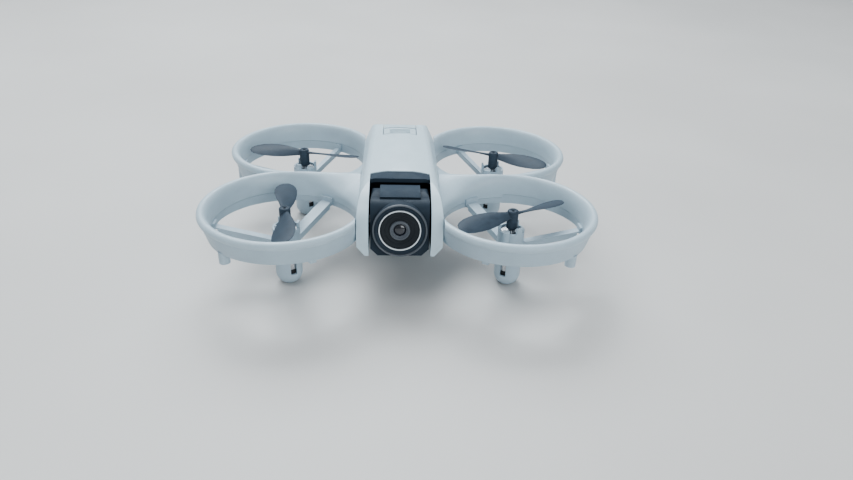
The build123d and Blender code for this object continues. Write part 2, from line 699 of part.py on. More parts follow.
with BuildPart() as end_cap_pattern:
    with Locations((0, 0, POD_FLOOR_Z + 0.05)):
        Cylinder(CAN_R - 0.15, CAN_BOTTOM_Z - POD_FLOOR_Z - 0.05, align=STANDING)
    chamfer(end_cap_pattern.faces().sort_by(Axis.Z)[0].edges(), 0.5)

with BuildPart() as shaft_pattern:
    with Locations((0, 0, 19.6)):
        Cylinder(SHAFT_R, HUB_TOP_Z - 0.8 - 19.6, align=STANDING)


def blade_solid():
    """One twisted blade along +X, lofted through oval sections."""
    with BuildPart() as blade:
        for r, chord, thick, pitch in (
            (1.0, 3.4, 1.5, 28),
            (5.0, 4.8, 1.1, 26),
            (10.0, 7.4, 0.95, 22),
            (16.0, 9.0, 0.8, 17),
            (21.0, 8.2, 0.65, 13),
            (24.2, 5.2, 0.5, 11),
            (25.2, 2.2, 0.35, 10),
        ):
            plane = Plane(
                origin=(r, 0, BLADE_Z),
                x_dir=(0, cos(radians(pitch)), sin(radians(pitch))),
                z_dir=(1, 0, 0),
            )
            with BuildSketch(plane):
                Ellipse(chord / 2, thick / 2)
        loft()
    return blade.part


BLADE = blade_solid()


def propeller(spin):
    """A two-blade propeller about the Z axis. Spin is 1 or -1, for the two opposite twists."""
    with BuildPart() as made:
        add(BLADE)
        add(BLADE.rotate(Axis.Z, 180))
        if spin < 0:
            mirror(about=Plane.XZ, mode=Mode.REPLACE)
        with Locations((0, 0, HUB_BOTTOM_Z)):
            Cylinder(HUB_R, HUB_TOP_Z - HUB_BOTTOM_Z, align=STANDING)
        fillet(made.faces().sort_by(Axis.Z)[-1].edges(), 0.35)
        with Locations((0, 0, HUB_BOTTOM_Z - 1)):
            Cylinder(SHAFT_R, HUB_TOP_Z - 0.8 - HUB_BOTTOM_Z + 1, align=STANDING, mode=Mode.SUBTRACT)
    return made.part


for corner, (side, end) in CORNERS.items():
    place = Location((side * DUCT_X, end * DUCT_Y, 0), (0, 0, REST_ANGLES[corner]))
    save(f"motor_can_{corner}", can_pattern.part.moved(place))
    save(f"motor_end_cap_{corner}", end_cap_pattern.part.moved(place))
    save(f"motor_shaft_{corner}", shaft_pattern.part.moved(place))
    save(f"propeller_{corner}", propeller(side * end).moved(place))


def motor_lead(side, end, sideways):
    """One lead, from the pod's wall up the spoke's channel and across to its plug on the board."""
    turn = radians(lead_angle(side, end))
    along = Vector(cos(turn), sin(turn))
    along_left = Vector(-sin(turn), cos(turn))
    across_left = Vector(0, -side)
    pod = Vector(side * DUCT_X, end * DUCT_Y, -LEAD_R - 0.13)
    share = sideways / (1 + along_left.dot(across_left))
    bend = pod + along * CHANNEL_BEND_R + (along_left + across_left) * share + Vector(0, 0, CHANNEL_ROOF_Z)
    start_r = POD_BORE_R + 0.1
    start = pod + along * start_r + along_left * sideways + Vector(0, 0, channel_roof(start_r))
    knee = pod + along * SPOKE_OUTER_R + along_left * sideways + Vector(0, 0, CHANNEL_ROOF_Z)
    finish = Vector(side * 10.6, bend.Y, bend.Z)
    with BuildPart() as lead:
        with BuildLine() as route:
            FilletPolyline(start, knee, bend, finish, radius=1.0)
        with BuildSketch(Plane(origin=start, z_dir=route.line % 0)):
            Circle(LEAD_R)
        sweep(path=route.line)
    return lead.part


for name, sideways in (("motor_leads_positive", LEAD_PITCH / 2), ("motor_leads_negative", -LEAD_PITCH / 2)):
    with BuildPart() as leads:
        for side, end in CORNERS.values():
            add(motor_lead(side, end, sideways))
    save(name, leads.part)

# ---------------------------------------------------------------- camera
LENS_DIR = (0, -cos(radians(LENS_TILT)), sin(radians(LENS_TILT)))
LENS = Plane(origin=(0, PIVOT_Y, PIVOT_Z), x_dir=(1, 0, 0), z_dir=LENS_DIR)
ACROSS = Plane(origin=(0, PIVOT_Y, PIVOT_Z), x_dir=LENS_DIR, z_dir=(-1, 0, 0))


def camera_block(inset):
    """The camera housing as one solid: a barrel across the bay with a square head in front."""
    with BuildPart() as housing:
        with BuildSketch(ACROSS) as outline:
            Rectangle(
                FACE_AHEAD - inset,
                2 * (HEAD_HALF - inset),
                align=(Align.MIN, Align.CENTER),
            )
            fillet(outline.vertices().sort_by(Axis.X)[-2:].sort_by(Axis.Y)[-1], HEAD_ROLL - inset)
            Circle(BARREL_R - inset)
        extrude(amount=CAMERA_HALF - inset, both=True)
        with BuildSketch(LENS.offset(-BARREL_R - 1)) as face:
            Rectangle(2 * (CAMERA_HALF - inset), 2 * (BARREL_R - inset))
            chamfer(face.vertices().group_by(Axis.Y)[0], 4.0)
            fillet(face.vertices().group_by(Axis.Y)[-1], 2.0)
        extrude(amount=2 * BARREL_R + 2, mode=Mode.INTERSECT)
    return housing.part


def half_of_camera(front):
    """One half of the housing, split across the lens axis, hollow, with half of each pin hole."""
    with BuildPart() as half:
        add(camera_block(0))
        add(camera_block(CAMERA_SKIN), mode=Mode.SUBTRACT)
        with BuildSketch(LENS.offset(BEZEL_FOOT if front else 0)):
            Circle(BEZEL_R if front else 2.5)
        extrude(amount=20 if front else -20, mode=Mode.SUBTRACT)
        with Locations(Location((0, PIVOT_Y, PIVOT_Z), (0, 90, 0))):
            Cylinder(PIN_R, 60, mode=Mode.SUBTRACT)
        split(bisect_by=LENS, keep=Keep.TOP if front else Keep.BOTTOM)
    return half.part


save("camera_front_shell", half_of_camera(True))
save("camera_rear_shell", half_of_camera(False))

with BuildPart() as camera_top_pad:
    with BuildSketch(ACROSS):
        with BuildLine():
            Polyline((0, 0), (-13, 22), (13.7, 22), close=True)
        make_face()
        Circle(BARREL_R + PAD_HEIGHT, mode=Mode.INTERSECT)
        Circle(BARREL_R, mode=Mode.SUBTRACT)
    extrude(amount=7.5, both=True)
    add(camera_block(0), mode=Mode.SUBTRACT)
save("camera_top_pad", camera_top_pad.part)


def lens_ring(outer, inner, start, finish, ease=0.0):
    """A round piece on the lens axis, between two distances from the pivot."""
    with BuildPart() as made:
        with BuildSketch(LENS.offset(start)):
            Circle(outer)
            if inner:
                Circle(inner, mode=Mode.SUBTRACT)
        extrude(amount=finish - start)
        if ease:
            edges = made.faces().sort_by(Axis((0, 0, 0), LENS_DIR))[-1].edges()
            fillet(edges, ease)
    return made.part


with BuildPart() as camera_bezel:
    add(lens_ring(BEZEL_R, 7.1, BEZEL_FOOT, BEZEL_FRONT, 0.0))
    for radius, start, finish in ((9.0, BEZEL_FOOT, FACE_AHEAD - 1.2), (8.2, FACE_AHEAD, BEZEL_FRONT)):
        with BuildSketch(LENS.offset(start)):
            Circle(radius)
        extrude(amount=finish - start, mode=Mode.SUBTRACT)
    fillet(camera_bezel.faces().sort_by(Axis((0, 0, 0), LENS_DIR))[-1].edges(), 0.8)
save("camera_bezel", camera_bezel.part)
save("camera_accent_ring", lens_ring(8.15, 7.45, FACE_AHEAD, 12.9, 0.15))
save("lens_surround", lens_ring(7.4, 3.8, FACE_AHEAD, 12.3))
save("lens_barrel", lens_ring(3.75, 2.3, 5.0, 12.9, 0.3))
save("front_lens_element", lens_ring(2.25, 0, 11.2, 12.1, 0.4))

with BuildPart() as image_sensor_board:
    with BuildSketch(LENS.offset(2.8)):
        Rectangle(13, 13)
    extrude(amount=1.0)
    with BuildSketch(LENS.offset(3.8)):
        Rectangle(6, 5)
    extrude(amount=0.9)
save("image_sensor_board", image_sensor_board.part)

with BuildPart() as camera_pivot_pins:
    for side in (-1, 1):
        with Locations(Location((side * 10.9, PIVOT_Y, PIVOT_Z), (0, 90, 0))):
            Cylinder(PIN_R, 2.9)
save("camera_pivot_pins", camera_pivot_pins.part)

with BuildPart() as pivot_washers:
    for side in (-1, 1):
        with Locations(Location((side * 11.1, PIVOT_Y, PIVOT_Z), (0, 90, 0))):
            Cylinder(2.7, 0.3)
            Cylinder(PIN_R, 1, mode=Mode.SUBTRACT)
save("pivot_washers", pivot_washers.part)

# ---------------------------------------------------------------- battery pack
with BuildPart() as battery_case:
    block((-PACK_HALF, PACK_HALF), (PACK_FRONT_Y, PACK_REAR_Y), (PACK_BOTTOM_Z, PACK_TOP_Z))
    fillet(battery_case.edges().filter_by(Axis.Y), 1.2)
    block(
        (-PACK_HALF + CASE_WALL, PACK_HALF - CASE_WALL),
        (PACK_FRONT_Y + CASE_WALL, PACK_REAR_Y + 1),
        (PACK_BOTTOM_Z + CASE_WALL, PACK_TOP_Z - CASE_WALL),
        Mode.SUBTRACT,
    )
    block((-5.0, 5.0), (PACK_FRONT_Y - 1, PACK_FRONT_Y + 2), (28.5, 31.5), Mode.SUBTRACT)
save("battery_case", battery_case.part)

with BuildPart() as battery_cell:
    block((-8.8, 8.8), (5.0, 34.8), (28.2, 36.8))
    fillet(battery_cell.edges().filter_by(Axis.Y), 2.5)
save("battery_cell", battery_cell.part)

with BuildPart() as battery_contacts:
    with Locations(*[(x, PACK_FRONT_Y + 0.6, 30.0) for x in (-3.0, 0, 3.0)]):
        Box(1.2, 0.8, 2.4)
save("battery_contacts", battery_contacts.part)

with BuildPart() as protection_board:
    block((-8.5, 8.5), (35.6, 36.6), (28.4, 36.6))
save("protection_board", protection_board.part)

with BuildPart() as battery_tail_cap:
    add(ENVELOPE)
    with BuildPart(mode=Mode.INTERSECT):
        block((-PACK_HALF, PACK_HALF), (PACK_REAR_Y, REAR_Y + 1), (PACK_BOTTOM_Z, PACK_TOP_Z))
        block((-LATCH_HALF, LATCH_HALF), (LATCH_REAR_Y + LATCH_REAR_GAP, REAR_Y + 1), (PACK_TOP_Z, 50))
    with BuildSketch(Plane.XZ.offset(-40.1)):
        with Locations((PORT_X, TAIL_Z)):
            SlotOverall(9.2, 3.5)
        with Locations((BUTTON_X, TAIL_Z)):
            Circle(BUTTON_R + 0.15)
        with Locations((1.6, TAIL_Z)):
            Circle(0.5)
    extrude(amount=-8, mode=Mode.SUBTRACT)
    with BuildSketch(Plane.XZ.offset(-40.1)):
        with Locations((BUTTON_X, TAIL_Z)):
            Circle(BUTTON_R + 0.7)
    extrude(amount=-1.35, mode=Mode.SUBTRACT)
save("battery_tail_cap", battery_tail_cap.part)

with BuildPart() as charge_port:
    with BuildSketch(Plane.XZ.offset(-40.2)):
        with Locations((PORT_X, TAIL_Z)):
            SlotOverall(9.0, 3.3)
            SlotOverall(8.3, 2.6, mode=Mode.SUBTRACT)
    extrude(amount=-4.4)
    with BuildSketch(Plane.XZ.offset(-40.2)):
        with Locations((PORT_X, TAIL_Z)):
            SlotOverall(8.3, 2.6)
    extrude(amount=-0.8)
    with BuildSketch(Plane.XZ.offset(-40.2)):
        with Locations((PORT_X, TAIL_Z)):
            Rectangle(6.6, 0.7)
    extrude(amount=-4.0)
save("charge_port", charge_port.part)

with BuildPart() as charge_light:
    with BuildSketch(Plane.XZ.offset(-40.2)):
        with Locations((1.6, TAIL_Z)):
            Circle(0.5)
    extrude(amount=-4.0)
save("charge_light", charge_light.part)

with BuildPart() as power_button:
    with BuildSketch(Plane.XZ.offset(-41.0)):
        with Locations((BUTTON_X, TAIL_Z)):
            Circle(BUTTON_R)
    extrude(amount=-3.5)
    fillet(power_button.faces().sort_by(Axis.Y)[-1].edges(), 0.4)
    with BuildSketch(Plane.XZ.offset(-40.6)):
        with Locations((BUTTON_X, TAIL_Z)):
            Circle(BUTTON_R + 0.5)
    extrude(amount=-0.8)
save("power_button", power_button.part)

with BuildPart() as battery_latch:
    add(fuselage_block(0.25))
    block(
        (-LATCH_HALF, LATCH_HALF),
        (LATCH_FRONT_Y, LATCH_REAR_Y),
        (PACK_TOP_Z + LATCH_TRAVEL + 0.2, 50),
        Mode.INTERSECT,
    )
save("battery_latch", battery_latch.part)
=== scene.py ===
"""Looks of a small ducted camera drone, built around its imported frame.

Lengths are written in millimetres and turned into metres where a mesh is made.
The nose faces -Y, +X is the drone's right-hand side and +Z is up.
"""

import json
from math import cos, pi, radians, sin

import bmesh
import bpy
from mathutils import Matrix, Vector


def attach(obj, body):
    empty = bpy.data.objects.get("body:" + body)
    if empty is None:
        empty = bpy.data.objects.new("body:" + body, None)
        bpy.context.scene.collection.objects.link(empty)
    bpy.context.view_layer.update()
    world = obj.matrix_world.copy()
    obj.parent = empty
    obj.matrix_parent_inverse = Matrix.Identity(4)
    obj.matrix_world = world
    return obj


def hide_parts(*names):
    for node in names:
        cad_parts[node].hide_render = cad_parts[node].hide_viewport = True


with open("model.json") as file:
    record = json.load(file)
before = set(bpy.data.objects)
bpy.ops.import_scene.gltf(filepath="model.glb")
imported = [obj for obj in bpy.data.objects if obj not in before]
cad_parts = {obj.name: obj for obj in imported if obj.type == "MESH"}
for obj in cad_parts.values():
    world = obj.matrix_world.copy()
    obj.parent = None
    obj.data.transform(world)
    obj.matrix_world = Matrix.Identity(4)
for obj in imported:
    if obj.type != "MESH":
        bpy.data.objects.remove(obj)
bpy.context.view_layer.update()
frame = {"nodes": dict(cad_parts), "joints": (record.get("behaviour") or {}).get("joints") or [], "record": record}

# ---------------------------------------------------------------- dimensions
MM = 0.001

# Side (-1 left, 1 right) and end (-1 front, 1 rear) of each duct, and where the moving bodies turn
CORNERS = {"fl": (-1, -1), "fr": (1, -1), "rl": (-1, 1), "rr": (1, 1)}
SPIN_POINTS = {
    joint["child"]: Vector(joint["pos_m"]) / MM
    for joint in frame["joints"]
    if joint["type"] == "hinge"
}
DUCT_X = SPIN_POINTS["prop_fr"].x
DUCT_Y = SPIN_POINTS["prop_rr"].y
PIVOT = SPIN_POINTS["camera"]

# Duct shrouds: a bell mouth from the throat up to a crest, with a rolled bead outside the crest
THROAT_R = 27.2
WALL = 0.9
FLARE_Z = 27.0
CREST_R = 30.0
CREST_Z = 34.0
RIDGE_Z = 33.6
JOINT_Z = 26.05
WEB_Z = 24.5
SHROUD_CUT = 16.15
BEAD_R = 30.1
BEAD_Z = 32.45
BEAD_WIDE = 1.6
BEAD_HIGH = 1.55
UNDER_BEAD = ((29.5, 31.0), (29.0, 30.2))
SLOPE_FLATTENING = 0.3

# Angles round a duct, in degrees from the neighbour duct's direction towards the fuselage
RIDGE_END = 45.0
WEB_START = -0.5
WEB_END = 73.5
SLOPE_START = (4.0, 40.0)
SLOPE_END = (80.0, 112.0)

# Propellers, with their angles at rest in degrees
REST_ANGLES = {"fl": 96.5, "fr": 29.0, "rl": -10.3, "rr": -25.8}
HUB_R = 2.15
HUB_BOTTOM_Z = 24.6
HUB_TOP_Z = 32.2
BLADE_Z = 30.4
CAMBER = 0.045

# Camera face and the pack's latch
LENS_TILT = 7.0
LATCH_FRONT_Y = 25.4
LATCH_TOP_Z = 42.1
RIDGE_HALF = 4.5
RIDGE_FIRST = 1.3
RIDGE_PITCH = 1.5
RIDGE_WIDE = 0.6
RIDGE_SUNK = 0.4
RIDGE_PROUD = 0.3

# Light, in metres, watts and degrees
SKY_COLOUR = (0.80, 0.86, 0.92, 1)
SKY_STRENGTH = 0.4
DAYLIGHT_FROM = (-0.12, 0.5, 0.85)
DAYLIGHT_COLOUR = (0.92, 0.97, 1.0)
DAYLIGHT_STRENGTH = 1.3
DAYLIGHT_SPREAD = 30
AREA_LIGHTS = (
    # name, place, point it faces, size, watts, colour
    ("window", (-0.12, 0.62, 0.72), (0, 0, 0.02), (0.9, 0.5), 6.0, (0.90, 0.96, 1.0)),
    ("overhead", (-0.35, -0.1, 0.8), (0, 0, 0), (0.5, 0.5), 2.0, (0.95, 0.98, 1.0)),
    ("fill", (0.45, -0.8, 0.4), (0, 0, 0.02), (0.7, 0.5), 3.2, (0.94, 0.98, 1.0)),
)
FLOOR_SIZE = 60

# Camera of the view, in millimetres and degrees, with the frame's focal length in pixels
VIEW_POINT = Vector((-2.0, -252.31, 143.47))
VIEW_PITCH = 29.22
VIEW_YAW = 3.22
VIEW_ROLL = 2.16
FOCAL_PIXELS = 656.21
IMAGE_WIDTH = 853
SENSOR_WIDTH = 36.0


# ---------------------------------------------------------------- view and light
def add_camera():
    """The view's camera: right, up and forward follow from its yaw, pitch and roll."""
    pitch, yaw, roll = radians(VIEW_PITCH), radians(VIEW_YAW), radians(VIEW_ROLL)
    forward = Vector((sin(yaw) * cos(pitch), cos(yaw) * cos(pitch), -sin(pitch)))
    level = Vector((cos(yaw), -sin(yaw), 0))
    above = level.cross(forward)
    right = level * cos(roll) + above * sin(roll)
    up = above * cos(roll) - level * sin(roll)
    data = bpy.data.cameras.new("view")
    data.sensor_width = SENSOR_WIDTH
    data.lens = FOCAL_PIXELS * SENSOR_WIDTH / IMAGE_WIDTH
    data.clip_start = 0.005
    camera = bpy.data.objects.new("view", data)
    rotation = Matrix((right, up, -forward)).transposed().to_4x4()
    camera.matrix_world = Matrix.Translation(VIEW_POINT * MM) @ rotation
    bpy.context.scene.collection.objects.link(camera)
    bpy.context.scene.camera = camera


def add_area_light(name, place, target, size, energy, colour):
    data = bpy.data.lights.new(name, "AREA")
    data.shape = "RECTANGLE"
    data.size, data.size_y = size
    data.energy = energy
    data.color = colour
    light = bpy.data.objects.new(name, data)
    light.location = place
    light.rotation_euler = (Vector(target) - Vector(place)).to_track_quat("-Z", "Y").to_euler()
    bpy.context.scene.collection.objects.link(light)


def add_world():
    world = bpy.data.worlds.new("studio")
    bpy.context.scene.world = world
    world.use_nodes = True
    background = world.node_tree.nodes["Background"]
    background.inputs["Color"].default_value = SKY_COLOUR
    background.inputs["Strength"].default_value = SKY_STRENGTH


def add_daylight():
    """Soft parallel light from behind, which keeps the floor evenly bright a long way off."""
    data = bpy.data.lights.new("daylight", "SUN")
    data.energy = DAYLIGHT_STRENGTH
    data.angle = radians(DAYLIGHT_SPREAD)
    data.color = DAYLIGHT_COLOUR
    light = bpy.data.objects.new("daylight", data)
    light.rotation_euler = Vector(DAYLIGHT_FROM).to_track_quat("Z", "Y").to_euler()
    bpy.context.scene.collection.objects.link(light)


# ---------------------------------------------------------------- materials
class Nodes:
    """A short way to write one material's node tree."""

    def __init__(self, name):
        self.material = bpy.data.materials.new(name)
        self.material.use_nodes = True
        self.tree = self.material.node_tree
        self.shader = self.tree.nodes["Principled BSDF"]
        self.coordinates = self.tree.nodes.new("ShaderNodeTexCoord").outputs["Object"]

    def add(self, kind, inputs=None, **settings):
        node = self.tree.nodes.new(kind)
        for key, value in settings.items():
            setattr(node, key, value)
        for key, value in (inputs or {}).items():
            self.feed(node.inputs[key], value)
        return node

    def feed(self, socket, value):
        if isinstance(value, bpy.types.NodeSocket):
            self.tree.links.new(value, socket)
        else:
            socket.default_value = value

    def set(self, **values):
        for key, value in values.items():
            self.feed(self.shader.inputs[key.replace("_", " ")], value)

    def noise(self, feature, detail=3.0, stretch=(1, 1, 1), rough=0.55):
        """Noise whose spots are about the given number of millimetres across."""
        place = self.add("ShaderNodeMapping", {"Vector": self.coordinates, "Scale": stretch})
        return self.add(
            "ShaderNodeTexNoise",
            {"Vector": place.outputs[0], "Scale": 1 / (feature * MM), "Detail": detail, "Roughness": rough},
        ).outputs["Fac"]

    def ramp(self, value, low, high, start=0.3, end=0.7):
        """The value between start and end, spread from low to high."""
        return self.add(
            "ShaderNodeMapRange",
            {"Value": value, "From Min": start, "From Max": end, "To Min": low, "To Max": high},
        ).outputs["Result"]

    def mix(self, share, first, second):
        node = self.add("ShaderNodeMix", data_type="RGBA")
        self.feed(node.inputs[0], share)
        self.feed(node.inputs[6], first)
        self.feed(node.inputs[7], second)
        return node.outputs[2]

    def math(self, operation, first, second=0.0):
        node = self.add("ShaderNodeMath", operation=operation)
        self.feed(node.inputs[0], first)
        self.feed(node.inputs[1], second)
        return node.outputs[0]

    def bump(self, height, depth, normal=None):
        """A bump whose full height is about the given number of millimetres."""
        inputs = {"Height": height, "Strength": 1.0, "Distance": depth * MM}
        if normal is not None:
            inputs["Normal"] = normal
        return self.add("ShaderNodeBump", inputs).outputs["Normal"]


def shade(colour, factor):
    """The colour made darker or lighter by a factor, as a shader colour."""
    return (*[min(channel * factor, 1.0) for channel in colour], 1)


def moulded_plastic(name, colour, roughness, grain=0.35, depth=0.006, mottle=0.05, specular=0.5):
    """Injection-moulded plastic: eroded mould grain, soft flow clouds and rubbed, glossier patches."""
    nodes = Nodes(name)
    clouds = nodes.noise(9.0, detail=4.0, stretch=(1, 0.6, 1.4))
    dust = nodes.ramp(nodes.noise(0.9, detail=5.0), 0.0, 1.0, 0.58, 0.72)
    base = nodes.mix(
        nodes.ramp(clouds, 0.0, 1.0), shade(colour, 1 - mottle), shade(colour, 1 + mottle * 0.6)
    )
    base = nodes.mix(nodes.math("MULTIPLY", dust, 0.10), base, shade(colour, 0.72))
    rubbed = nodes.ramp(nodes.noise(4.5, detail=2.0), roughness - 0.06, roughness + 0.07)
    grain_height = nodes.noise(grain, detail=2.0, rough=0.7)
    normal = nodes.bump(grain_height, depth)
    normal = nodes.bump(clouds, depth * 3, normal)
    nodes.set(Base_Color=base, Roughness=rubbed, Normal=normal)
    nodes.shader.inputs["Specular IOR Level"].default_value = specular
    return nodes.material


def brushed_metal(name, colour, roughness=0.3, stretch=(1, 1, 0.06)):
    """Turned or drawn metal with fine streaks."""
    nodes = Nodes(name)
    streaks = nodes.noise(0.25, detail=4.0, stretch=stretch)
    stain = nodes.noise(3.0, detail=3.0)
    base = nodes.mix(nodes.ramp(streaks, 0.0, 1.0), shade(colour, 0.82), shade(colour, 1.08))
    base = nodes.mix(nodes.ramp(stain, 0.0, 0.35, 0.5, 0.75), base, shade(colour, 0.6))
    nodes.set(
        Base_Color=base,
        Roughness=nodes.ramp(streaks, roughness - 0.08, roughness + 0.12),
        Normal=nodes.bump(streaks, 0.004),
    )
    nodes.shader.inputs["Metallic"].default_value = 1.0
    return nodes.material


def circuit_board(name):
    """Solder mask with printed tracks and pads under it."""
    nodes = Nodes(name)
    tracks = nodes.add(
        "ShaderNodeTexBrick",
        {
            "Vector": nodes.coordinates,
            "Color1": (0, 0, 0, 1),
            "Color2": (0, 0, 0, 1),
            "Mortar": (1, 1, 1, 1),
            "Scale": 1 / (2.2 * MM),
            "Mortar Size": 0.05,
            "Brick Width": 0.9,
            "Row Height": 0.35,
        },
    )
    patches = nodes.ramp(nodes.noise(2.5, detail=1.0), 0.0, 1.0, 0.5, 0.52)
    copper = nodes.math("MULTIPLY", tracks.outputs["Color"], patches)
    base = nodes.mix(copper, (0.008, 0.05, 0.035, 1), (0.03, 0.16, 0.09, 1))
    nodes.set(
        Base_Color=base,
        Roughness=nodes.ramp(nodes.noise(1.2), 0.26, 0.4),
        Normal=nodes.bump(copper, 0.02),
    )
    return nodes.material


def film(name, colour, line_colour, pitch):
    """A flexible printed film with lines along it."""
    nodes = Nodes(name)
    lines = nodes.add(
        "ShaderNodeTexWave",
        {"Vector": nodes.coordinates, "Scale": 0.05 / (pitch * MM), "Distortion": 0.0},
        bands_direction="X",
    ).outputs["Fac"]
    sharp = nodes.ramp(lines, 0.0, 1.0, 0.45, 0.6)
    base = nodes.mix(sharp, shade(colour, 1), shade(line_colour, 1))
    nodes.set(Base_Color=base, Roughness=nodes.ramp(nodes.noise(1.5), 0.22, 0.36))
    return nodes.material


def lens_glass(name, tint):
    """Coated glass over a dark barrel: nearly black, with a real coat and a painted coloured sheen that lightens
    the colour where the glass is seen edge-on.
    """
    nodes = Nodes(name)
    painted_sheen_facing = nodes.add("ShaderNodeLayerWeight", {"Blend": 0.35}).outputs["Facing"]
    # Painted sheen: the base colour turns lighter where the glass is seen edge-on.
    base = nodes.mix(painted_sheen_facing, shade(tint, 0.35), shade(tint, 1.6))
    haze = nodes.noise(1.4, detail=3.0)
    nodes.set(Base_Color=base, Roughness=nodes.ramp(haze, 0.02, 0.07))
    nodes.shader.inputs["Coat Weight"].default_value = 1.0
    nodes.shader.inputs["Coat Roughness"].default_value = 0.03
    nodes.shader.inputs["IOR"].default_value = 1.6
    return nodes.material


def blade_plastic(name, colour):
    """Thin semi-gloss propeller plastic with flow lines that follow the moulding gate."""
    nodes = Nodes(name)
    flow = nodes.noise(2.4, detail=5.0, stretch=(1, 1, 3))
    base = nodes.mix(nodes.ramp(flow, 0.0, 1.0), shade(colour, 0.88), shade(colour, 1.12))
    scuffs = nodes.ramp(nodes.noise(0.6, detail=6.0), 0.0, 0.5, 0.6, 0.75)
    base = nodes.mix(scuffs, base, shade(colour, 1.35))
    nodes.set(
        Base_Color=base,
        Roughness=nodes.ramp(flow, 0.38, 0.5),
        Normal=nodes.bump(nodes.noise(0.5, detail=3.0), 0.004),
    )
    nodes.shader.inputs["Specular IOR Level"].default_value = 0.14
    return nodes.material


MATERIALS = {
    # One pale bluish-white shell plastic in lit and shaded copies: the canopy's is lighter as painted light on the
    # top, the shroud's and frame's are darker as painted shade on the duct walls and lower frame, the pack's lies
    # between.
    "canopy_plastic": moulded_plastic("canopy_plastic", (0.60, 0.73, 0.80), 0.36),
    "shroud_plastic": moulded_plastic("shroud_plastic", (0.50, 0.61, 0.68), 0.38),
    "frame_plastic": moulded_plastic("frame_plastic", (0.46, 0.56, 0.63), 0.44, depth=0.009),
    "pack_plastic": moulded_plastic("pack_plastic", (0.54, 0.66, 0.72), 0.38),
    "camera_plastic": moulded_plastic(
        "camera_plastic", (0.036, 0.052, 0.071), 0.52, grain=0.22, depth=0.008, mottle=0.12, specular=0.16
    ),
    "hood_plastic": moulded_plastic(
        "hood_plastic", (0.046, 0.066, 0.090), 0.6, grain=0.22, depth=0.008, mottle=0.10, specular=0.12
    ),
    "chassis_plastic": moulded_plastic(
        "chassis_plastic", (0.022, 0.028, 0.036), 0.55, mottle=0.15, specular=0.3
    ),
    "screw_steel": brushed_metal("screw_steel", (0.50, 0.51, 0.53), 0.28, (1, 1, 1)),
    "can_metal": brushed_metal("can_metal", (0.60, 0.61, 0.63), 0.26),
    "end_cap_plastic": moulded_plastic("end_cap_plastic", (0.025, 0.027, 0.030), 0.5, mottle=0.15),
    "propeller_plastic": blade_plastic("propeller_plastic", (0.058, 0.078, 0.102)),
    "lead_red": moulded_plastic("lead_red", (0.40, 0.015, 0.015), 0.4, grain=0.2, depth=0.004),
    "lead_black": moulded_plastic("lead_black", (0.016, 0.016, 0.018), 0.42, grain=0.2, depth=0.004),
    "circuit_board": circuit_board("circuit_board"),
    "antenna_film": film("antenna_film", (0.38, 0.16, 0.03), (0.62, 0.33, 0.10), 1.0),
    "diffuser_plastic": moulded_plastic("diffuser_plastic", (0.80, 0.84, 0.86), 0.3, grain=0.2),
    "lens_glass": lens_glass("lens_glass", (0.020, 0.028, 0.050)),
    "lens_black": moulded_plastic(
        "lens_black", (0.020, 0.025, 0.031), 0.36, grain=0.2, depth=0.004, specular=0.3
    ),
    "lens_grey": moulded_plastic("lens_grey", (0.12, 0.135, 0.155), 0.34, grain=0.2, depth=0.004),
    "accent_white": moulded_plastic(
        "accent_white", (0.84, 0.89, 0.92), 0.30, grain=0.2, depth=0.003, mottle=0.02
    ),
    "port_metal": brushed_metal("port_metal", (0.55, 0.56, 0.58), 0.25, (1, 0.1, 1)),
    "button_plastic": moulded_plastic("button_plastic", (0.16, 0.19, 0.23), 0.4),
    "cell_foil": brushed_metal("cell_foil", (0.52, 0.54, 0.57), 0.38, (1, 0.1, 1)),
}


# ---------------------------------------------------------------- mesh helpers
def finish_piece(name, mesh, body, slot, sharp_angle=32):
    """Turns a mesh in millimetres into a smooth-shaded piece that rides on a body."""
    mesh.transform(Matrix.Scale(MM, 4))
    for polygon in mesh.polygons:
        polygon.use_smooth = True
    mesh.set_sharp_from_angle(angle=radians(sharp_angle))
    piece = bpy.data.objects.new(name, mesh)
    bpy.context.scene.collection.objects.link(piece)
    mesh.materials.append(MATERIALS[slot])
    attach(piece, body)
    return piece


def mesh_from(name, vertices, faces):
    mesh = bpy.data.meshes.new(name)
    mesh.from_pydata([tuple(v) for v in vertices], [], faces)
    mesh.validate()
    return mesh


def grid_faces(rows, columns, close_rows=False, close_columns=False):
    """Faces of a grid of vertices that are listed row by row."""
    faces = []
    for i in range(rows if close_rows else rows - 1):
        for j in range(columns if close_columns else columns - 1):
            k, m = (i + 1) % rows, (j + 1) % columns
            faces.append((i * columns + j, i * columns + m, k * columns + m, k * columns + j))
    return faces


def lathe_mesh(name, profile, place=Matrix.Identity(4), steps=96):
    """A closed ring of profile points (radius, height) turned about the local Z axis."""
    vertices = []
    for i in range(steps):
        turn = 2 * pi * i / steps
        for radius, height in profile:
            vertices.append(place @ Vector((radius * cos(turn), radius * sin(turn), height)))
    mesh = mesh_from(name, vertices, grid_faces(steps, len(profile), close_rows=True, close_columns=True))
    bm = bmesh.new()
    bm.from_mesh(mesh)
    bmesh.ops.remove_doubles(bm, verts=bm.verts, dist=0.0005)
    bmesh.ops.recalc_face_normals(bm, faces=bm.faces)
    bm.to_mesh(mesh)
    bm.free()
    return mesh


# ---------------------------------------------------------------- duct shrouds
ROUND_STEPS = 288
BELL_STEPS = 14
BEAD_STEPS = 12
BEAD_TURN = 0.97


def smooth_step(value, low, high):
    """0 below low, 1 above high, with an eased change between them."""
    t = min(max((value - low) / (high - low), 0.0), 1.0)
    return t * t * (3 - 2 * t)


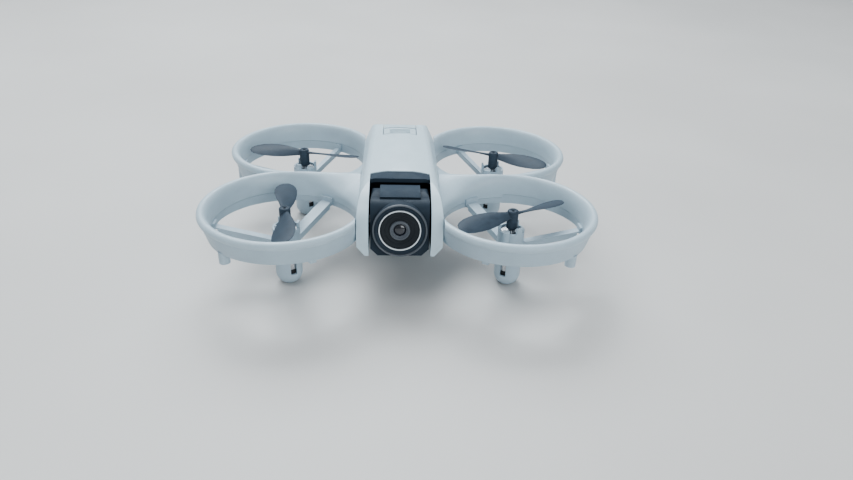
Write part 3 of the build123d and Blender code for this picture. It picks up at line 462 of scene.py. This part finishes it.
def crest_radius(angle):
    """Distance from the duct's axis to the crest, for an angle in degrees from the neighbour duct's
    direction, positive towards the fuselage. On that side the crest follows the straight ridge."""
    if angle <= 0 or angle >= SLOPE_END[1]:
        return CREST_R
    ridge = DUCT_Y / cos(radians(min(angle, RIDGE_END)))
    blend = smooth_step(angle, RIDGE_END, SLOPE_END[1])
    return max(CREST_R, ridge) * (1 - blend) + CREST_R * blend


def shroud_profile(angle):
    """Closed outline (radius, height) of the shroud at one angle, from the throat's foot upwards."""
    crest = crest_radius(angle)
    on_slope = smooth_step(angle, *SLOPE_START) * (1 - smooth_step(angle, *SLOPE_END))
    flattening = SLOPE_FLATTENING * on_slope
    top = CREST_Z - (CREST_Z - RIDGE_Z) * on_slope
    foot = WEB_Z if WEB_START < angle < WEB_END else JOINT_Z
    outline = [(THROAT_R, foot)]
    for k in range(BELL_STEPS + 1):
        phase = pi / 2 * k / BELL_STEPS
        across = 1 - cos(phase)
        rise = sin(phase) * (1 - flattening) + across * flattening
        outline.append((THROAT_R + (crest - THROAT_R) * across, FLARE_Z + (top - FLARE_Z) * rise))
    shift = crest - CREST_R
    for k in range(1, BEAD_STEPS + 1):
        phase = pi / 2 - pi * BEAD_TURN * k / BEAD_STEPS
        bead_z = BEAD_Z + top - CREST_Z + BEAD_HIGH * sin(phase)
        outline.append((shift + BEAD_R + BEAD_WIDE * cos(phase), bead_z))
    (near_r, near_z), (lower_r, lower_z) = UNDER_BEAD
    outline += [(shift + near_r, near_z), (shift * 0.6 + lower_r, lower_z)]
    outline += [(THROAT_R + WALL, FLARE_Z), (THROAT_R + WALL, foot)]
    return outline


def half_shroud(side, end):
    """The bell mouth of one duct, cut off at the neighbour duct and at the fuselage."""
    centre = Vector((side * DUCT_X, end * DUCT_Y, 0))
    toward = Vector((0, -end, 0))
    inward = Vector((-side, 0, 0))
    vertices = []
    for i in range(ROUND_STEPS):
        angle = -180 + 360 * i / ROUND_STEPS
        ray = toward * cos(radians(angle)) + inward * sin(radians(angle))
        outline = shroud_profile(angle)
        vertices += [centre + ray * r + Vector((0, 0, z)) for r, z in outline]
    faces = grid_faces(ROUND_STEPS, len(outline), close_rows=True, close_columns=True)
    mesh = mesh_from("half_shroud", vertices, faces)
    bm = bmesh.new()
    bm.from_mesh(mesh)
    for point, normal in (((0, 0, 0), toward), ((side * SHROUD_CUT, 0, 0), inward)):
        whole = bm.verts[:] + bm.edges[:] + bm.faces[:]
        bmesh.ops.bisect_plane(
            bm, geom=whole, plane_co=point, plane_no=normal, clear_outer=True, dist=1e-4
        )
    bm.to_mesh(mesh)
    bm.free()
    return mesh


def add_shroud(side, name):
    """The front and rear bell mouths of one side, joined into one moulding."""
    mesh = bpy.data.meshes.new(name + "_moulding")
    bm = bmesh.new()
    for end in (-1, 1):
        half = half_shroud(side, end)
        bm.from_mesh(half)
        bpy.data.meshes.remove(half)
    bmesh.ops.remove_doubles(bm, verts=bm.verts, dist=0.003)
    open_edges = [e for e in bm.edges if e.is_boundary]
    bmesh.ops.holes_fill(bm, edges=open_edges, sides=0)
    bmesh.ops.recalc_face_normals(bm, faces=bm.faces)
    bm.to_mesh(mesh)
    bm.free()
    piece = finish_piece(name + "_moulding", mesh, "airframe", "shroud_plastic", 40)
    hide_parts(name)


# ---------------------------------------------------------------- propellers
BLADE_SECTIONS = (
    # distance from the axis, chord, thickness, pitch in degrees, sweep of the middle of the chord
    (1.2, 3.2, 1.9, 30, 0.0),
    (3.0, 3.7, 1.5, 29, 0.05),
    (5.5, 5.0, 1.15, 27, 0.15),
    (9.0, 7.0, 0.95, 23, 0.25),
    (13.0, 8.5, 0.82, 19, 0.25),
    (17.0, 8.9, 0.72, 16, 0.15),
    (20.5, 8.3, 0.62, 13.5, -0.05),
    (23.0, 6.6, 0.52, 12, -0.3),
    (24.4, 4.4, 0.42, 11, -0.5),
    (25.1, 1.6, 0.28, 10.5, -0.7),
)
SECTION_STEPS = 20
BLADE_SPANS = 44


def blade_values(distance):
    """Chord, thickness, pitch and sweep at a distance from the axis, eased between the sections."""
    for near, far in zip(BLADE_SECTIONS, BLADE_SECTIONS[1:]):
        if distance <= far[0] or far is BLADE_SECTIONS[-1]:
            t = min(max((distance - near[0]) / (far[0] - near[0]), 0.0), 1.0)
            return [a + (b - a) * t for a, b in zip(near[1:], far[1:])]


def blade_vertices(half_turn, spin):
    """Rings of an aerofoil blade from the hub to the tip."""
    rings = []
    inner, outer = BLADE_SECTIONS[0][0], BLADE_SECTIONS[-1][0]
    for i in range(BLADE_SPANS):
        distance = inner + (outer - inner) * sin(pi / 2 * i / (BLADE_SPANS - 1))
        chord, thick, pitch, sweep = blade_values(distance)
        slope = radians(pitch)
        for j in range(SECTION_STEPS):
            phase = 2 * pi * j / SECTION_STEPS
            along = cos(phase) * chord / 2
            camber = CAMBER * chord * (1 - cos(phase) ** 2)
            taper = 0.62 + 0.38 * cos(phase)
            height = sin(phase) * thick / 2 * taper + camber
            across = sweep + along * cos(slope) - height * sin(slope)
            lift = along * sin(slope) + height * cos(slope)
            rings.append(Vector((distance * half_turn, across * half_turn * spin, BLADE_Z + lift)))
    return rings


def add_propeller(corner):
    """Two blades on a turned hub, at the angle they have at rest."""
    side, end = CORNERS[corner]
    spin = side * end
    name = "propeller_" + corner
    bm = bmesh.new()
    for half_turn in (1, -1):
        vertices = [bm.verts.new(v) for v in blade_vertices(half_turn, spin)]
        for face in grid_faces(BLADE_SPANS, SECTION_STEPS, close_columns=True):
            bm.faces.new([vertices[i] for i in face])
        bm.faces.new(vertices[:SECTION_STEPS])
        bm.faces.new(vertices[-SECTION_STEPS:])
    hub = lathe_mesh(
        "hub",
        [
            (0.56, HUB_BOTTOM_Z), (HUB_R - 0.25, HUB_BOTTOM_Z), (HUB_R, HUB_BOTTOM_Z + 0.25),
            (HUB_R, HUB_TOP_Z - 0.55), (HUB_R - 0.12, HUB_TOP_Z - 0.22), (HUB_R - 0.45, HUB_TOP_Z),
            (1.15, HUB_TOP_Z), (1.0, HUB_TOP_Z - 0.2), (0.6, HUB_TOP_Z - 0.25), (0.56, HUB_TOP_Z - 0.9),
        ],
        steps=64,
    )
    bm.from_mesh(hub)
    bmesh.ops.recalc_face_normals(bm, faces=bm.faces)
    mesh = bpy.data.meshes.new(name + "_moulding")
    bm.to_mesh(mesh)
    bm.free()
    bpy.data.meshes.remove(hub)
    turn = Matrix.Rotation(radians(REST_ANGLES[corner]), 4, "Z")
    mesh.transform(Matrix.Translation((side * DUCT_X, end * DUCT_Y, 0)) @ turn)
    piece = finish_piece(name + "_moulding", mesh, "prop_" + corner, "propeller_plastic", 38)
    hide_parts(name)


# ---------------------------------------------------------------- camera face
def lens_place():
    """The frame of the lens: Z along its axis, from the pivot, and X across the drone."""
    tilt = radians(LENS_TILT)
    axis = Vector((0, -cos(tilt), sin(tilt)))
    across = Vector((1, 0, 0))
    return Matrix.Translation(PIVOT) @ Matrix((across, axis.cross(across), axis)).transposed().to_4x4()


def add_camera_face():
    """The camera's round parts, turned about the lens axis from outlines (radius, distance ahead)."""
    place = lens_place()
    rings = {
        "camera_bezel": (
            "camera_plastic",
            [
                (9.0, 6.6), (10.2, 6.6), (10.2, 12.4), (9.4, 12.4), (9.3, 12.55), (8.9, 12.4),
                (8.3, 12.25), (7.95, 12.2), (7.85, 12.0), (7.85, 11.2), (7.1, 11.2), (7.1, 10.0),
                (9.0, 10.0),
            ],
        ),
        # A lighter grey ring over the bezel's outer bevel: a painted highlight standing in for the sheen along the
        # rim.
        "camera_bezel_painted_sheen_ring": (
            "lens_grey",
            [
                (9.45, 12.45), (10.18, 12.45), (10.18, 12.75), (10.1, 13.0), (9.95, 13.15),
                (9.75, 13.2), (9.58, 13.12), (9.48, 12.95),
            ],
        ),
        "camera_accent_ring": (
            "accent_white",
            [(7.38, 11.2), (7.8, 11.2), (7.8, 12.7), (7.76, 12.76), (7.42, 12.76), (7.38, 12.7)],
        ),
        "lens_surround": (
            "lens_black",
            [
                (3.82, 11.2), (7.32, 11.2), (7.32, 12.3), (7.22, 12.38), (6.9, 12.38), (6.8, 12.26),
                (5.7, 12.1), (5.62, 12.16), (5.4, 12.16), (5.3, 12.04), (4.4, 11.9), (4.3, 11.96),
                (3.82, 11.96),
            ],
        ),
        "lens_barrel": (
            "lens_grey",
            [
                (2.32, 5.0), (3.75, 5.0), (3.75, 12.5), (3.62, 12.74), (3.4, 12.85), (3.15, 12.8),
                (3.0, 12.55), (2.9, 12.3), (2.62, 12.24), (2.55, 12.08), (2.4, 12.02), (2.32, 11.9),
            ],
        ),
        "front_lens_element": (
            "lens_glass",
            [
                (0.0, 11.2), (2.25, 11.2), (2.25, 11.5), (2.0, 11.74), (1.5, 11.93), (1.0, 12.03),
                (0.5, 12.085), (0.0, 12.1),
            ],
        ),
    }
    for node, (slot, profile) in rings.items():
        piece = finish_piece(node + "_turned", lathe_mesh(node, profile, place, 128), "camera", slot, 30)
        if node in frame["nodes"]:
            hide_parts(node)


# ---------------------------------------------------------------- small moulded details
def rounded_bars(name, body, slot, boxes, ease=0.15):
    """One piece made of softly edged blocks, each given as its spans along X, Y and Z."""
    bm = bmesh.new()
    for spans in boxes:
        size = Vector([high - low for low, high in spans])
        middle = Vector([(high + low) / 2 for low, high in spans])
        made = bmesh.ops.create_cube(bm, size=1.0, matrix=Matrix.LocRotScale(middle, None, size))
        edges = {edge for vertex in made["verts"] for edge in vertex.link_edges}
        bmesh.ops.bevel(bm, geom=list(edges), offset=ease, segments=3, profile=0.5, affect="EDGES")
    mesh = bpy.data.meshes.new(name)
    bm.to_mesh(mesh)
    bm.free()
    return finish_piece(name, mesh, body, slot)


def add_details():
    """Grip ridges across the pack's latch."""
    ridges = []
    for row in range(3):
        start = LATCH_FRONT_Y + RIDGE_FIRST + RIDGE_PITCH * row
        along = (start, start + RIDGE_WIDE)
        upward = (LATCH_TOP_Z - RIDGE_SUNK, LATCH_TOP_Z + RIDGE_PROUD)
        ridges.append(((-RIDGE_HALF, RIDGE_HALF), along, upward))
    rounded_bars("latch_ridges", "latch", "pack_plastic", ridges)


# ---------------------------------------------------------------- carried-over nodes
def dress_nodes():
    """Gives every CAD node the material of its slot."""
    slots = {entry["node"]: entry["material_slot"] for entry in frame["record"]["subparts"]}
    for name, node in frame["nodes"].items():
        node.data.materials.clear()
        node.data.materials.append(MATERIALS[slots[name]])


# ---------------------------------------------------------------- floor
def add_floor():
    nodes = Nodes("pale_floor")
    clouds = nodes.noise(160.0, detail=3.0)
    base = nodes.mix(nodes.ramp(clouds, 0.0, 1.0), (0.60, 0.59, 0.575, 1), (0.64, 0.63, 0.615, 1))
    nodes.set(Base_Color=base, Roughness=nodes.ramp(clouds, 0.5, 0.58))
    bpy.ops.mesh.primitive_plane_add(size=FLOOR_SIZE)
    floor = bpy.context.object
    floor.name = "floor"
    floor.data.materials.append(nodes.material)


# ---------------------------------------------------------------- the whole scene
bpy.context.scene.view_settings.look = "AgX - Medium High Contrast"
add_camera()
add_world()
add_daylight()
for light_values in AREA_LIGHTS:
    add_area_light(*light_values)
add_floor()
dress_nodes()
for side, name in ((-1, "left_duct_shroud"), (1, "right_duct_shroud")):
    add_shroud(side, name)
for corner in CORNERS:
    add_propeller(corner)
add_camera_face()
add_details()
